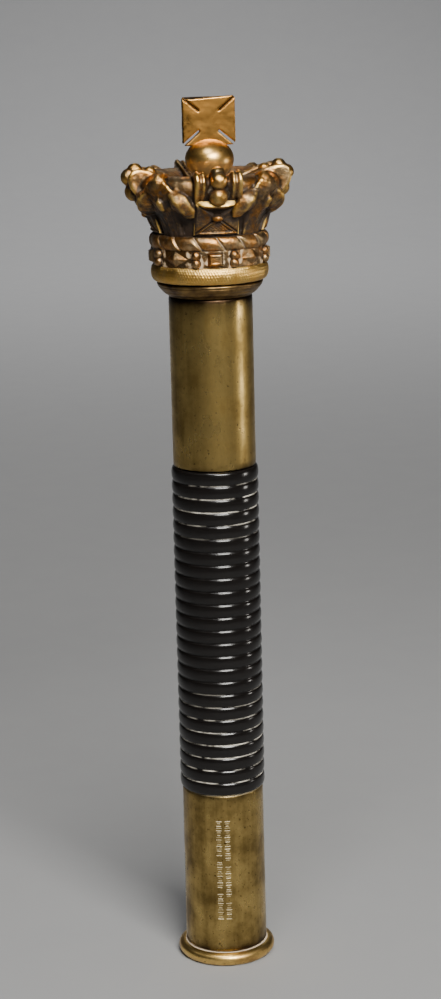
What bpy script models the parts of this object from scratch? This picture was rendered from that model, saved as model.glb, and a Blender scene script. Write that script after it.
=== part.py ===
"""A tipstaff, a short ceremonial staff of office, standing on its foot.

Metres, +Z up, origin at the middle of the underside, front at -Y. From the foot up it is a turned brass
cap, a brass tube, a ribbed ebony grip, a second brass tube, a turned collar, a cast brass crown, a ball
and a plate cross.
"""

import math

import bmesh
import bpy
from mathutils import Matrix, Vector

# Clearances
joint_gap = 0.0003
plug_clearance = 0.0003

# Foot
foot_rim_width = 0.02875
foot_thickness = 0.0038
foot_plug_depth = 0.0060

# Tubes
tube_width = 0.0238
tube_foot_width = 0.0242
tube_wall = 0.0012
lower_tube_length = 0.0489
upper_tube_length = 0.0488

# Grip
grip_rib_count = 25
grip_rib_pitch = 0.003876
grip_rib_width = 0.0251
grip_groove_width = 0.0239
grip_crest_share = 0.56
grip_tenon_length = 0.0140

# Collar
collar_height = 0.0041
collar_width = 0.0301
collar_plug_depth = 0.0080
spigot_width = 0.0180
spigot_height = 0.0035

# Crown borders, from its underside up
border_height = 0.0050
border_width = 0.0333
band_height = 0.0043
band_width = 0.0319
rope_height = 0.0042
rope_width = 0.0338
rope_strands = 16
rope_strand_depth = 0.0007
rope_slant = math.radians(4)

# Crown carving above the rope: how far it rises and how wide it spreads
crown_rise = 0.0184
crown_spread = 0.0460
arch_width = 0.0132
arch_top_width = 0.0080
arch_thickness = 0.0044
arch_fillet_width = 0.0025
arch_channel_depth = 0.0010
arch_channel_slope = 0.0006
arch_pearl_width = 0.0048
patty_width = 0.0124
patty_height = 0.0098
patty_proud = 0.0009
patty_lip = 0.0016
patty_boss_width = 0.0026
leaf_width = 0.0108
leaf_thickness = 0.0036
petal_width = 0.0046
fleur_turn = math.radians(-3.5)

# Crown jewels
square_gem_width = 0.0045
long_gem_width = 0.0072
gem_rise = 0.0012
gem_sink = 0.0006
band_pearl_width = 0.0027
band_pearl_turns = (19, 66)
long_gem_turn = 42
band_turn = -2

# Crown seats: the collar's spigot below, and the cupped hub that the ball sits in
socket_depth = 0.0110
hub_width = 0.0084
hub_foot_width = 0.0112
hub_foot_depth = 0.0036

# Ball and cross
orb_width = 0.0137
orb_height = 0.0114
orb_offset = 0.0007
cross_width = 0.0149
cross_height = 0.0135
cross_plate = 0.0016
cross_slot = 0.0008
cross_core = 0.0054
cross_seat_depth = 0.0022

# Fineness of the round pieces
round_steps = 28
grip_steps = 16
crown_steps = 22
orb_steps = 18
pearl_sides = 6

# Heights where one piece meets the next
lower_tube_foot = foot_thickness + joint_gap
lower_tube_head = lower_tube_foot + lower_tube_length
grip_foot = lower_tube_head + joint_gap
grip_head = grip_foot + grip_rib_count * grip_rib_pitch
upper_tube_foot = grip_head + joint_gap
upper_tube_head = upper_tube_foot + upper_tube_length
collar_foot = upper_tube_head + joint_gap
collar_head = collar_foot + collar_height
crown_foot = collar_head + joint_gap
band_foot = crown_foot + border_height
rope_foot = band_foot + band_height
rope_head = rope_foot + rope_height

tube_radius = tube_width / 2
bore_radius = tube_radius - tube_wall
plug_radius = bore_radius - plug_clearance

# Heights in the carving are shares of the crown's rise, radii are shares of half its spread
hub_share = 0.755

orb_foot = rope_head + hub_share * crown_rise + joint_gap
orb_centre = orb_foot + orb_height / 2
cross_foot = orb_centre + orb_height / 2 - cross_seat_depth + joint_gap


def new_material(name, colour, metallic, roughness):
    material = bpy.data.materials.new(name)
    material.use_nodes = True
    shader = material.node_tree.nodes["Principled BSDF"]
    shader.inputs["Base Color"].default_value = (*colour, 1.0)
    shader.inputs["Metallic"].default_value = metallic
    shader.inputs["Roughness"].default_value = roughness
    return material


def new_object(name, mesh, collection, material):
    piece = bpy.data.objects.new(name, mesh)
    collection.objects.link(piece)
    mesh.materials.append(material)
    return piece


def turned(name, profile, steps, collection, material, closed=False):
    """A turned piece: the profile's points are (radius, height), running down the outer side."""
    mesh = bpy.data.meshes.new(name)
    edges = [(i, i + 1) for i in range(len(profile) - 1)]
    if closed:
        edges.append((len(profile) - 1, 0))
    mesh.from_pydata([(radius, 0, height) for radius, height in profile], edges, [])
    piece = new_object(name, mesh, collection, material)
    screw = piece.modifiers.new("turn", "SCREW")
    screw.steps = steps
    screw.render_steps = steps
    screw.use_merge_vertices = True
    screw.merge_threshold = 0.00001
    screw.use_smooth_shade = True
    return piece


def arc(radius, height, reach, start, end, count):
    """Points of an arc in the profile's plane, about (radius, height), with angles from +X in degrees."""
    points = []
    for i in range(count + 1):
        angle = math.radians(start + (end - start) * i / count)
        points.append((radius + reach * math.cos(angle), height + reach * math.sin(angle)))
    return points


def smooth_line(points, count):
    """Evenly spread points on a Catmull-Rom curve through the given ones."""
    ends = [2 * Vector(points[0]) - Vector(points[1]), 2 * Vector(points[-1]) - Vector(points[-2])]
    knots = [ends[0], *(Vector(point) for point in points), ends[1]]
    line = []
    for i in range(count):
        place = i / (count - 1) * (len(points) - 1)
        start = min(int(place), len(points) - 2)
        t = place - start
        a, b, c, d = knots[start : start + 4]
        bend = (2 * a - 5 * b + 4 * c - d) * t**2 + (3 * b - a - 3 * c + d) * t**3
        line.append((2 * b + (c - a) * t + bend) / 2)
    return line


def loft(name, rings, collection, material):
    """A closed solid through rings with the same number of points, with its two ends capped."""
    bm = bmesh.new()
    loops = [[bm.verts.new(point) for point in ring] for ring in rings]
    count = len(rings[0])
    for lower, upper in zip(loops, loops[1:]):
        for i in range(count):
            bm.faces.new((lower[i], lower[(i + 1) % count], upper[(i + 1) % count], upper[i]))
    bm.faces.new(loops[0])
    bm.faces.new(loops[-1])
    bmesh.ops.triangulate(bm, faces=bm.faces)
    bmesh.ops.recalc_face_normals(bm, faces=bm.faces)
    mesh = bpy.data.meshes.new(name)
    bm.to_mesh(mesh)
    bm.free()
    return new_object(name, mesh, collection, material)


def at(turn, across, radius, height):
    """A point on the crown's face at a turn from the front, across that face and out along its middle."""
    outward = Vector((math.sin(turn), -math.cos(turn), 0))
    sideways = Vector((math.cos(turn), math.sin(turn), 0))
    return outward * radius + sideways * across + Vector((0, 0, height))


def carved(radius_share, rise_share):
    return crown_spread / 2 * radius_share, rope_head + crown_rise * rise_share


def towards_core(radius, height, depth):
    """A point this far under the carving's surface, towards the ring that the crown's cap is built round."""
    core_radius, core_height = carved(0.62, 0.50)
    inward = Vector((min(radius, core_radius) - radius, core_height - height)).normalized()
    return radius + inward.x * depth, height + inward.y * depth


def build_foot(collection, material):
    bead = foot_thickness / 2
    profile = [(0, foot_thickness + foot_plug_depth), (plug_radius, foot_thickness + foot_plug_depth)]
    profile += [(plug_radius, foot_thickness)]
    profile += arc(foot_rim_width / 2 - bead, bead, bead, 90, -90, 6)
    profile += [(0, 0)]
    turned("base_cap", profile, round_steps, collection, material)


def build_tube(name, foot, head, foot_radius, collection, material):
    profile = [(tube_radius, head), (foot_radius, foot), (bore_radius, foot), (bore_radius, head)]
    turned(name, profile, round_steps, collection, material, closed=True)


def build_grip(collection, material):
    crest = grip_rib_width / 2
    groove = grip_groove_width / 2
    edge = (1 - grip_crest_share) / 2
    profile = [(0, grip_head + grip_tenon_length), (plug_radius, grip_head + grip_tenon_length)]
    profile += [(plug_radius, grip_head), (groove, grip_head)]
    for rib in range(grip_rib_count):
        top = grip_head - rib * grip_rib_pitch
        profile += [(crest, top - edge * grip_rib_pitch), (crest, top - (1 - edge) * grip_rib_pitch)]
        profile += [(groove, top - grip_rib_pitch)]
    profile += [(plug_radius, grip_foot), (plug_radius, grip_foot - grip_tenon_length)]
    profile += [(0, grip_foot - grip_tenon_length)]
    turned("grip", profile, grip_steps, collection, material)


def build_collar(collection, material):
    step = (collar_width - tube_width) / 2
    spigot_radius = spigot_width / 2
    profile = [(0, collar_head + spigot_height), (spigot_radius, collar_head + spigot_height)]
    profile += [(spigot_radius, collar_head), (collar_width / 2 - 0.10 * step, collar_head)]
    profile += [(collar_width / 2, collar_head - 0.15 * collar_height)]
    profile += [(collar_width / 2 - 0.10 * step, collar_head - 0.36 * collar_height)]
    profile += [(collar_width / 2 - 0.40 * step, collar_head - 0.60 * collar_height)]
    profile += [(tube_radius + 0.10 * step, collar_head - 0.90 * collar_height)]
    profile += [(tube_radius, collar_foot), (plug_radius, collar_foot)]
    profile += [(plug_radius, collar_foot - collar_plug_depth), (0, collar_foot - collar_plug_depth)]
    turned("collar", profile, round_steps, collection, material)


def crown_body(collection, material):
    """The turned body: cap, flared basket, jewelled band and border, with the collar's socket below."""
    profile = [carved(*shares) for shares in cap_line]
    profile += [(band_width / 2, rope_head), (band_width / 2, band_foot)]
    middle = crown_foot + border_height / 2
    bulge = border_height / 2
    flat = border_width / 2 - 0.55 * bulge
    for degrees in (65, 25, -25, -65):
        angle = math.radians(degrees)
        profile.append((flat + 0.55 * bulge * math.cos(angle), middle + bulge * math.sin(angle)))
    profile += [(flat, crown_foot)]
    socket_radius = spigot_width / 2 + plug_clearance
    profile += [(socket_radius, crown_foot), (socket_radius, crown_foot + socket_depth)]
    profile += [(0, crown_foot + socket_depth)]
    return turned("crown", profile, crown_steps, collection, material)


def flattened(profile):
    """A profile round the ball's centre, pressed from above and below to the ball's height."""
    return [(radius, orb_centre + (height - orb_centre) * orb_height / orb_width) for radius, height in profile]


def crown_hub(collection, material):
    """The cupped hub where the arches meet, hollowed to the ball and set off the axis like it."""
    edge = math.degrees(math.asin(hub_width / orb_width))
    cup = flattened(arc(0, orb_centre, orb_width / 2 + joint_gap, -90, edge - 90, 3))
    cup[0] = (0, orb_foot - joint_gap)
    profile = [*cup, (hub_foot_width / 2, orb_foot - hub_foot_depth), (0, orb_foot - hub_foot_depth)]
    hub = turned("hub", profile, orb_steps, collection, material)
    hub.location.x = orb_offset


def crown_rope(collection, material):
    """The twisted rope border: a ring whose section swells and sinks with its slanting strands."""
    places = 3
    section = 5
    around = rope_strands * places
    middle = (rope_foot + rope_head) / 2
    buried = band_width / 2 - rope_strand_depth
    rings = []
    for i in range(around):
        sunk = rope_strand_depth if i % places == 0 else 0
        ring = []
        for j in range(section):
            angle = math.pi * (0.5 - j / (section - 1))
            turn = 2 * math.pi * i / around - rope_slant * math.sin(angle)
            radius = buried + (rope_width / 2 - buried - sunk) * math.cos(angle)
            ring.append(at(turn, 0, radius, middle + (rope_height / 2 - 0.3 * sunk) * math.sin(angle)))
        ring.append(at(turn, 0, buried - rope_strand_depth, middle))
        rings.append(ring)
    bm = bmesh.new()
    loops = [[bm.verts.new(point) for point in ring] for ring in rings]
    for i in range(around):
        near, far = loops[i], loops[(i + 1) % around]
        for j in range(section + 1):
            following = (j + 1) % (section + 1)
            bm.faces.new((near[j], near[following], far[following], far[j]))
    bmesh.ops.recalc_face_normals(bm, faces=bm.faces)
    mesh = bpy.data.meshes.new("rope")
    bm.to_mesh(mesh)
    bm.free()
    new_object("rope", mesh, collection, material)


def add_pearl(name, place, width, collection, material):
    bm = bmesh.new()
    bmesh.ops.create_uvsphere(bm, u_segments=pearl_sides, v_segments=4, radius=width / 2)
    mesh = bpy.data.meshes.new(name)
    bm.to_mesh(mesh)
    bm.free()
    pearl = new_object(name, mesh, collection, material)
    pearl.location = place


def add_gem(name, turn, width, height, table, collection, material):
    """A four-sided gem on the band, with its point or its flat table outwards."""
    ground = band_width / 2 - gem_sink
    bm = bmesh.new()
    depth = gem_rise + gem_sink
    corner = math.sqrt(0.5)
    bmesh.ops.create_cone(bm, cap_ends=True, segments=4, radius1=corner, radius2=table * corner, depth=depth)
    if table:
        bmesh.ops.rotate(bm, verts=bm.verts, matrix=Matrix.Rotation(math.radians(45), 3, "Z"))
        spread = 1.0
    else:
        spread = corner
    mesh = bpy.data.meshes.new(name)
    outward = at(turn, 0, 1, 0)
    middle = at(turn, 0, ground + depth / 2, (band_foot + rope_foot) / 2)
    for vert in bm.verts:
        sideways = vert.co.x * width * spread
        up = vert.co.y * height * spread
        vert.co = middle + at(turn, sideways, 0, up) + outward * vert.co.z
    bmesh.ops.recalc_face_normals(bm, faces=bm.faces)
    bm.to_mesh(mesh)
    bm.free()
    new_object(name, mesh, collection, material)


def crown_jewels(collection, material):
    middle = (band_foot + rope_foot) / 2
    pair_rise = 0.23 * band_height
    for quarter in range(4):
        turn = math.radians(90 * quarter + band_turn)
        height = 0.88 * band_height
        add_gem(f"square_gem_{quarter}", turn, square_gem_width, height, 0.5, collection, material)
    for half in (0, 180):
        for side in (-1, 1):
            turn = math.radians(half + side * long_gem_turn + band_turn)
            height = 0.95 * band_height
            add_gem(f"long_gem_{half}_{side}", turn, long_gem_width, height, 0, collection, material)
            for angle in band_pearl_turns:
                turn = math.radians(half + side * angle + band_turn)
                for level in (-1, 1):
                    place = at(turn, 0, band_width / 2, middle + level * pair_rise)
                    name = f"band_pearl_{half}_{side * angle}_{level}"
                    add_pearl(name, place, band_pearl_width, collection, material)


cap_line = ((0, 0.62), (0.19, 0.62), (0.36, 0.70), (0.58, 0.83), (0.74, 0.87), (0.84, 0.77), (0.84, 0.58),
            (0.75, 0.26))
arch_line = ((0.70, 0.16), (0.78, 0.36), (0.88, 0.54), (0.97, 0.70), (1.00, 0.82), (0.98, 0.93), (0.90, 1.00),
             (0.77, 0.98), (0.60, 0.92), (0.40, 0.83), (0.22, 0.76))
patty_line = ((0.66, 0.02), (0.735, 0.22), (0.835, 0.47))
leaf_line = ((0.70, 0.04), (0.76, 0.20), (0.86, 0.40), (0.94, 0.58), (0.985, 0.74), (0.97, 0.87), (0.91, 0.96),
             (0.82, 0.97), (0.72, 0.90))
leaf_shares = (0.45, 0.55, 1.00, 0.66, 0.34, 0.16)
petal_line = ((0.07, 0.88, 0.66), (0.20, 0.885, 0.62), (0.295, 0.84, 0.50), (0.31, 0.785, 0.36),
              (0.285, 0.735, 0.22))


def add_arch(name, turn, collection, material):
    rings = []
    for shares in smooth_line(arch_line, 10):
        radius, height = carved(*shares)
        narrowing = min(1.0, max(0.0, (shares[0] - 0.15) / 0.6))
        half = (arch_top_width + (arch_width - arch_top_width) * narrowing) / 2
        fillet = half - arch_fillet_width * half / (arch_width / 2)
        channel = fillet - arch_channel_slope
        top = (radius, height)
        low = towards_core(radius, height, arch_channel_depth)
        under = towards_core(radius, height, arch_thickness)
        section = ((-half, top), (-fillet, top), (-channel, low), (channel, low), (fillet, top), (half, top),
                   (half, under), (-half, under))
        rings.append([at(turn, across, *place) for across, place in section])
    loft(name, rings, collection, material)
    for number, shares in enumerate(((0.905, 0.63), (0.98, 0.82), (0.885, 0.92), (0.70, 0.88))):
        place = at(turn, 0, *carved(*shares))
        add_pearl(f"{name}_pearl_{number}", place, arch_pearl_width, collection, material)


def patty_point(turn, across, rise, proud):
    """A point on a cross's face, which leans with the basket and is rounded like it."""
    foot, middle, head = (Vector(shares) for shares in patty_line)
    share = foot.lerp(middle, 2 * rise) if rise < 0.5 else middle.lerp(head, 2 * rise - 1)
    radius = carved(*share)[0]
    sideways = across * patty_width / 2
    height = carved(*foot)[1] + patty_height * rise
    return at(turn, sideways, math.sqrt(radius**2 - sideways**2) + proud, height)


def add_patty(name, turn, collection, material):
    """A cross with four arms spreading from a boss: a curved plate with four raised wedges on it."""
    rings = []
    for rise in (0.0, 0.5, 1.0):
        front = [patty_point(turn, across, rise, 0) for across in (-1, 0, 1)]
        back = [patty_point(turn, across, rise, -2.5 * patty_proud) for across in (1, -1)]
        rings.append(front + back)
    loft(name, rings, collection, material)
    lip = patty_lip / patty_proud
    arms = {
        "upper": ((-0.9, 1, 0.3), (-0.4, 0.97, lip), (0.4, 0.97, lip), (0.9, 1, 0.3), (0.1, 0.6, 0.4),
                  (-0.1, 0.6, 0.4)),
        "lower": ((-0.86, 0.01, 1), (0, 0.01, 1), (0.86, 0.01, 1), (0.1, 0.42, 1), (-0.1, 0.42, 1)),
        "left": ((-0.99, 0.1, 1), (-0.99, 0.92, 1), (-0.2, 0.53, 1), (-0.2, 0.47, 1)),
        "right": ((0.99, 0.1, 1), (0.99, 0.92, 1), (0.2, 0.53, 1), (0.2, 0.47, 1)),
    }
    for arm, outline in arms.items():
        back = [patty_point(turn, across, rise, -patty_proud) for across, rise, proud in outline]
        front = [patty_point(turn, across, rise, proud * patty_proud) for across, rise, proud in outline]
        loft(f"{name}_{arm}", [back, front], collection, material)
    boss = patty_point(turn, 0, 0.5, 0.5 * patty_proud)
    add_pearl(f"{name}_boss", boss, patty_boss_width, collection, material)


def add_fleur(name, turn, collection, material):
    """A fleur-de-lis: a broad middle leaf that leans out and curls over, and a drooping petal each side."""
    rings = []
    for shares, width in zip(smooth_line(leaf_line, len(leaf_shares)), leaf_shares):
        radius, height = carved(*shares)
        half = width * leaf_width / 2
        ridge = (radius, height)
        edge = towards_core(radius, height, 0.20 * leaf_thickness)
        under = towards_core(radius, height, leaf_thickness)
        section = ((-half, edge), (-0.4 * half, ridge), (0.4 * half, ridge), (half, edge), (0.7 * half, under),
                   (-0.7 * half, under))
        rings.append([at(turn, across, *place) for across, place in section])
    loft(name, rings, collection, material)
    for side in (-1, 1):
        rings = []
        line = smooth_line(petal_line, 4)
        for i, (across, radius_share, rise_share) in enumerate(line):
            radius, height = carved(radius_share, rise_share)
            middle = Vector((across * crown_spread / 2, height))
            ahead = line[min(i + 1, len(line) - 1)] - line[max(i - 1, 0)]
            along = Vector((ahead.x * crown_spread / 2, ahead.z * crown_rise)).normalized()
            normal = Vector((-along.y, along.x))
            swell = petal_width * (0.30 + 0.20 * math.sin(math.pi * (i + 0.6) / len(line)))
            section = ((-1.0, -0.5), (-0.55, 0.25), (0.55, 0.25), (1.0, -0.5), (0.0, -1.6))
            ring = []
            for beside, out in section:
                point = middle + normal * beside * swell
                ring.append(at(turn, side * point.x, radius + out * swell, point.y))
            rings.append(ring)
        loft(f"{name}_petal_{side}", rings, collection, material)


def build_crown(parts, castings, material):
    crown = crown_body(parts, material)
    crown_hub(castings, material)
    crown_rope(castings, material)
    crown_jewels(castings, material)
    for quarter in range(4):
        turn = math.radians(90 * quarter)
        add_arch(f"arch_{quarter}", turn, castings, material)
        add_patty(f"cross_patty_{quarter}", turn, castings, material)
        add_fleur(f"fleur_{quarter}", turn + math.radians(45) + fleur_turn, castings, material)
    join = crown.modifiers.new("cast as one", "BOOLEAN")
    join.operation = "UNION"
    join.operand_type = "COLLECTION"
    join.collection = castings
    join.solver = "EXACT"


def build_orb(parts, cutters, material):
    orb_head = orb_centre + orb_height / 2
    profile = flattened(arc(0, orb_centre, orb_width / 2, 90, -90, 10))
    profile[0] = (0, orb_head)
    profile[-1] = (0, orb_foot)
    orb = turned("orb", profile, orb_steps, parts, material)
    orb.location.x = orb_offset
    bm = bmesh.new()
    bmesh.ops.create_cube(bm, size=1)
    room = cross_plate + 2 * plug_clearance
    bmesh.ops.scale(bm, vec=(2 * orb_width, room, 2 * cross_seat_depth), verts=bm.verts)
    mesh = bpy.data.meshes.new("orb_slot")
    bm.to_mesh(mesh)
    bm.free()
    slot = new_object("orb_slot", mesh, cutters, material)
    slot.location = (orb_offset, 0, orb_head)
    cut = orb.modifiers.new("slot for the cross", "BOOLEAN")
    cut.operation = "DIFFERENCE"
    cut.object = slot


def build_cross(parts, material):
    """A plate cross: a nearly square plate, parted into four spreading arms by a slot from each corner."""
    half_width = cross_width / 2
    half_height = cross_height / 2
    core = cross_core / 2
    slant = Vector((half_width - core, half_height - core)).normalized()
    beside = Vector((-slant.y, slant.x)) * cross_slot / 2
    outline = []
    for right, up in ((1, 1), (-1, 1), (-1, -1), (1, -1)):
        corner = Vector((right * half_width, up * half_height))
        inner = Vector((right * core, up * core))
        offset = Vector((right * beside.x, up * beside.y))
        lips = [corner + Vector((right * -cross_slot * 0.8, 0)), inner + offset, inner - offset,
                corner + Vector((0, up * -cross_slot * 0.8))]
        outline += lips if right * up < 0 else lips[::-1]
    bm = bmesh.new()
    back = [bm.verts.new((point.x, cross_plate / 2, point.y)) for point in outline]
    face = bm.faces.new(back)
    front = bmesh.ops.extrude_face_region(bm, geom=[face])["geom"]
    moved = [item for item in front if isinstance(item, bmesh.types.BMVert)]
    bmesh.ops.translate(bm, vec=(0, -cross_plate, 0), verts=moved)
    bmesh.ops.recalc_face_normals(bm, faces=bm.faces)
    mesh = bpy.data.meshes.new("cross")
    bm.to_mesh(mesh)
    bm.free()
    cross = new_object("cross", mesh, parts, material)
    cross.location = (orb_offset, 0, cross_foot + half_height)


for old in list(bpy.data.objects):
    bpy.data.objects.remove(old)

parts = bpy.data.collections.new("tipstaff")
castings = bpy.data.collections.new("crown castings")
cutters = bpy.data.collections.new("cutters")
for collection in (parts, castings, cutters):
    bpy.context.scene.collection.children.link(collection)

tube_brass = new_material("aged drawn brass", (0.36, 0.27, 0.10), 1.0, 0.38)
turned_brass = new_material("turned brass", (0.48, 0.32, 0.12), 1.0, 0.32)
cast_brass = new_material("cast gilding brass", (0.50, 0.31, 0.12), 1.0, 0.36)
ebony = new_material("polished ebony", (0.012, 0.011, 0.011), 0.0, 0.22)

build_foot(parts, turned_brass)
build_tube("lower_tube", lower_tube_foot, lower_tube_head, tube_foot_width / 2, parts, tube_brass)
build_grip(parts, ebony)
build_tube("upper_tube", upper_tube_foot, upper_tube_head, tube_radius, parts, tube_brass)
build_collar(parts, tube_brass)
build_crown(parts, castings, cast_brass)
build_orb(parts, cutters, turned_brass)
build_cross(parts, turned_brass)

for collection in (castings, cutters):
    collection.hide_render = True
    for helper in collection.objects:
        helper.hide_render = True
        helper.display_type = "WIRE"
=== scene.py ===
"""The looks of a tipstaff, a short ceremonial staff of office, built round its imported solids.

Metres, +Z up, the crown's front at -Y. The sections follow the staff from its foot to its cross.
"""

import math
from functools import partial

import bmesh
import bpy
import numpy as np
from mathutils import Matrix, Vector, noise
from mathutils.bvhtree import BVHTree


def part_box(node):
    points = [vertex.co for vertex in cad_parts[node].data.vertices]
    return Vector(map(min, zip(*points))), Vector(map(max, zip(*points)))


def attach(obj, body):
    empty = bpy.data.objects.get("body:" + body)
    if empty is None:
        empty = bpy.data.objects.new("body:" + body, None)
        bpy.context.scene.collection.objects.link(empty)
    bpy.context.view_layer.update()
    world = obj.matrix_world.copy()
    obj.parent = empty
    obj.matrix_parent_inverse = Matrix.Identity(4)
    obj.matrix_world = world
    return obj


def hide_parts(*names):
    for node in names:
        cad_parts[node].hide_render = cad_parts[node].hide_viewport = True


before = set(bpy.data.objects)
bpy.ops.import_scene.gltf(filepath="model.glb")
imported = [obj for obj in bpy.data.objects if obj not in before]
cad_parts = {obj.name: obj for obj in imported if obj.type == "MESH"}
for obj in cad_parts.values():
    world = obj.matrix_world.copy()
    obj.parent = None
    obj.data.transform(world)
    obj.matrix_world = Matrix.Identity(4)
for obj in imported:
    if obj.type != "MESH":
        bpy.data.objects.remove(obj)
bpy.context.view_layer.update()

# Base cap
# A disc of brass turned on a lathe, with a half-round rim and a plug that goes up inside the lower tube.
# The staff stands on its flat underside, and the rim is worn bright where the hand and the table rub it.


def linear(hex_colour):
    """A colour written as sRGB hex, turned to the linear values that a shader takes."""
    channels = [int(hex_colour[i : i + 2], 16) / 255 for i in (1, 3, 5)]
    return tuple(c / 12.92 if c <= 0.04045 else ((c + 0.055) / 1.055) ** 2.4 for c in channels) + (1.0,)


def add_node(material, kind, inputs, **settings):
    """A shader node of a kind with its settings. Each input is named or numbered, and takes a value, a node's
    output, or a node, which stands for its first output that is in use."""
    node = material.node_tree.nodes.new("ShaderNode" + kind)
    for setting, value in settings.items():
        setattr(node, setting, value)
    for socket, value in inputs.items():
        if isinstance(value, bpy.types.Node):
            value = next(output for output in value.outputs if output.enabled)
        if isinstance(value, bpy.types.NodeSocket):
            material.node_tree.links.new(value, node.inputs[socket])
        else:
            node.inputs[socket].default_value = value
    return node


def new_material(name):
    """A material with no surface yet, and add_node set to add nodes to it."""
    material = bpy.data.materials.new(name)
    material.use_nodes = True
    material.node_tree.nodes.clear()
    return material, partial(add_node, material)


def finish_material(material, sockets, bump=None):
    """The surface shader and the output. The bump is a height in metres that lifts or sinks the surface."""
    if bump is not None:
        sockets["Normal"] = add_node(material, "Bump", {"Height": bump, "Distance": 1.0, "Strength": 1.0})
    shader = add_node(material, "BsdfPrincipled", sockets)
    add_node(material, "OutputMaterial", {"Surface": shader})


def per_size(*sizes):
    """The scale that gives a pattern features of about this size in metres, or of these along X, Y and Z."""
    return 1.0 / sizes[0] if len(sizes) == 1 else [1.0 / size for size in sizes]


def linked(name, data):
    """A new object with this data, put in the scene."""
    thing = bpy.data.objects.new(name, data)
    bpy.context.scene.collection.objects.link(thing)
    return thing


def smooth_object(name, vertices, faces, material):
    """A smooth-shaded object of one material."""
    mesh = bpy.data.meshes.new(name)
    mesh.from_pydata([tuple(v) for v in vertices], [], [tuple(f) for f in faces])
    mesh.validate()
    mesh.polygons.foreach_set("use_smooth", [True] * len(mesh.polygons))
    mesh.materials.append(material)
    return linked(name, mesh)


def object_from(name, vertices, faces, material, slot):
    """A piece of the staff."""
    piece = smooth_object(name, vertices, faces, material)
    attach(piece, "root")
    return piece


def mark_points(piece, name, amounts):
    """Gives each of the piece's vertices an amount that its material reads under this name."""
    piece.data.attributes.new(name, "FLOAT", "POINT").data.foreach_set("value", list(amounts))


def turned(name, profile, material, slot, steps=144):
    """A lathe-turned piece: the profile's points are (radius, height) and run down the outer side."""
    angles = [2 * math.pi * i / steps for i in range(steps)]
    vertices, rings, faces = [], [], []
    for radius, height in profile:
        if radius == 0:
            rings.append([len(vertices)] * steps)
            vertices.append((0, 0, height))
        else:
            rings.append(range(len(vertices), len(vertices) + steps))
            vertices += [(radius * math.cos(a), radius * math.sin(a), height) for a in angles]
    for upper, lower in zip(rings, rings[1:]):
        for i in range(steps):
            j = (i + 1) % steps
            faces.append(list(dict.fromkeys([upper[i], lower[i], lower[j], upper[j]])))
    return object_from(name, vertices, faces, material, slot)


foot_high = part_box("base_cap")[1]
foot_rim = 0.0038
foot_plug = 0.0104
foot_plug_radius = 0.0100
seam_radius = 0.0121
seam_half = 0.0002
sole_inset = 0.0014

# Turned brass: a soft copper-gold metal with the faint rings of the lathe, browner where it isn't rubbed and
# redder where it is marked as coppery, with pale dried polish left in its seams. Where marked it is painted
# dark brown, for grime together with painted shade, and the pale polish colour also paints a paler, greyer
# reflection on the ball's underside.
turned_brass, node = new_material("turned brass")
place = node("TexCoord", {}).outputs["Object"]
copper, grime_and_shade, polish = (node("Attribute", {}, attribute_name=name).outputs["Fac"]
                         for name in ("copper", "grime_and_shade", "polish"))
blotch = node("TexNoise", {"Vector": place, "Scale": per_size(0.005), "Detail": 6.0, "Roughness": 0.62})
speck = node("TexNoise", {"Vector": place, "Scale": per_size(0.0009), "Detail": 3.0})
# The lathe's rings: even round the piece and about 0.35 mm apart along it
stretched = node("Mapping", {"Vector": place, "Scale": per_size(1 / 90, 1 / 90, 0.00035)})
lathe = node("TexNoise", {"Vector": stretched, "Scale": 1.0, "Detail": 2.0})
tarnish = node("MapRange", {"Value": blotch, "From Min": 0.42, "From Max": 0.68})
spots = node("MapRange", {"Value": speck, "From Min": 0.62, "From Max": 0.74})
gold = linear("#E2BE72")
for share, colour in ((tarnish, "#AB8850"), (spots, "#4A2E18"), (copper, "#9A6A2E"), (grime_and_shade, "#33220F"),
                      (polish, "#C9B598")):
    gold = node("Mix", {0: share, 6: gold, 7: linear(colour)}, data_type="RGBA")
bare = node("Math", {0: 1.0, 1: polish}, operation="SUBTRACT")
rough = node("MapRange", {"Value": blotch, "From Min": 0.3, "From Max": 0.75, "To Min": 0.26, "To Max": 0.42})
rough = node("Math", {0: rough, 1: polish}, operation="MAXIMUM")
rings = node("Math", {0: lathe, 1: 0.000009}, operation="MULTIPLY")
finish_material(turned_brass, {"Base Color": gold, "Metallic": bare, "Roughness": rough}, rings)

bead = foot_rim / 2
rim = foot_high.x - bead
profile = [(0, foot_plug), (foot_plug_radius, foot_plug), (foot_plug_radius, foot_rim)]
profile += [(seam_radius + aside, foot_rim) for aside in (-seam_half, 0.0, seam_half, 1.5 * seam_half)]
profile += [(rim + bead * math.cos(a), bead + bead * math.sin(a))
            for a in np.radians(np.arange(90, -91, -10))]
profile += [(rim - sole_inset + 0.0004, 0.00005), (rim - sole_inset, 0.0), (0, 0)]
base_cap = turned("base_cap_turned", profile, turned_brass, "turned_brass")
mark_points(base_cap, "polish", [float(abs(math.hypot(v.co.x, v.co.y) - seam_radius) < 1.25 * seam_half
                                       and v.co.z > 0.75 * foot_rim) for v in base_cap.data.vertices])
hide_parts("base_cap")

# Lower tube
# Thin brass drawn to a tube, glued over the grip's end and over the base cap's plug. Two rows of small marks
# are cut along it in front and filled with pale dried polish.

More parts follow.
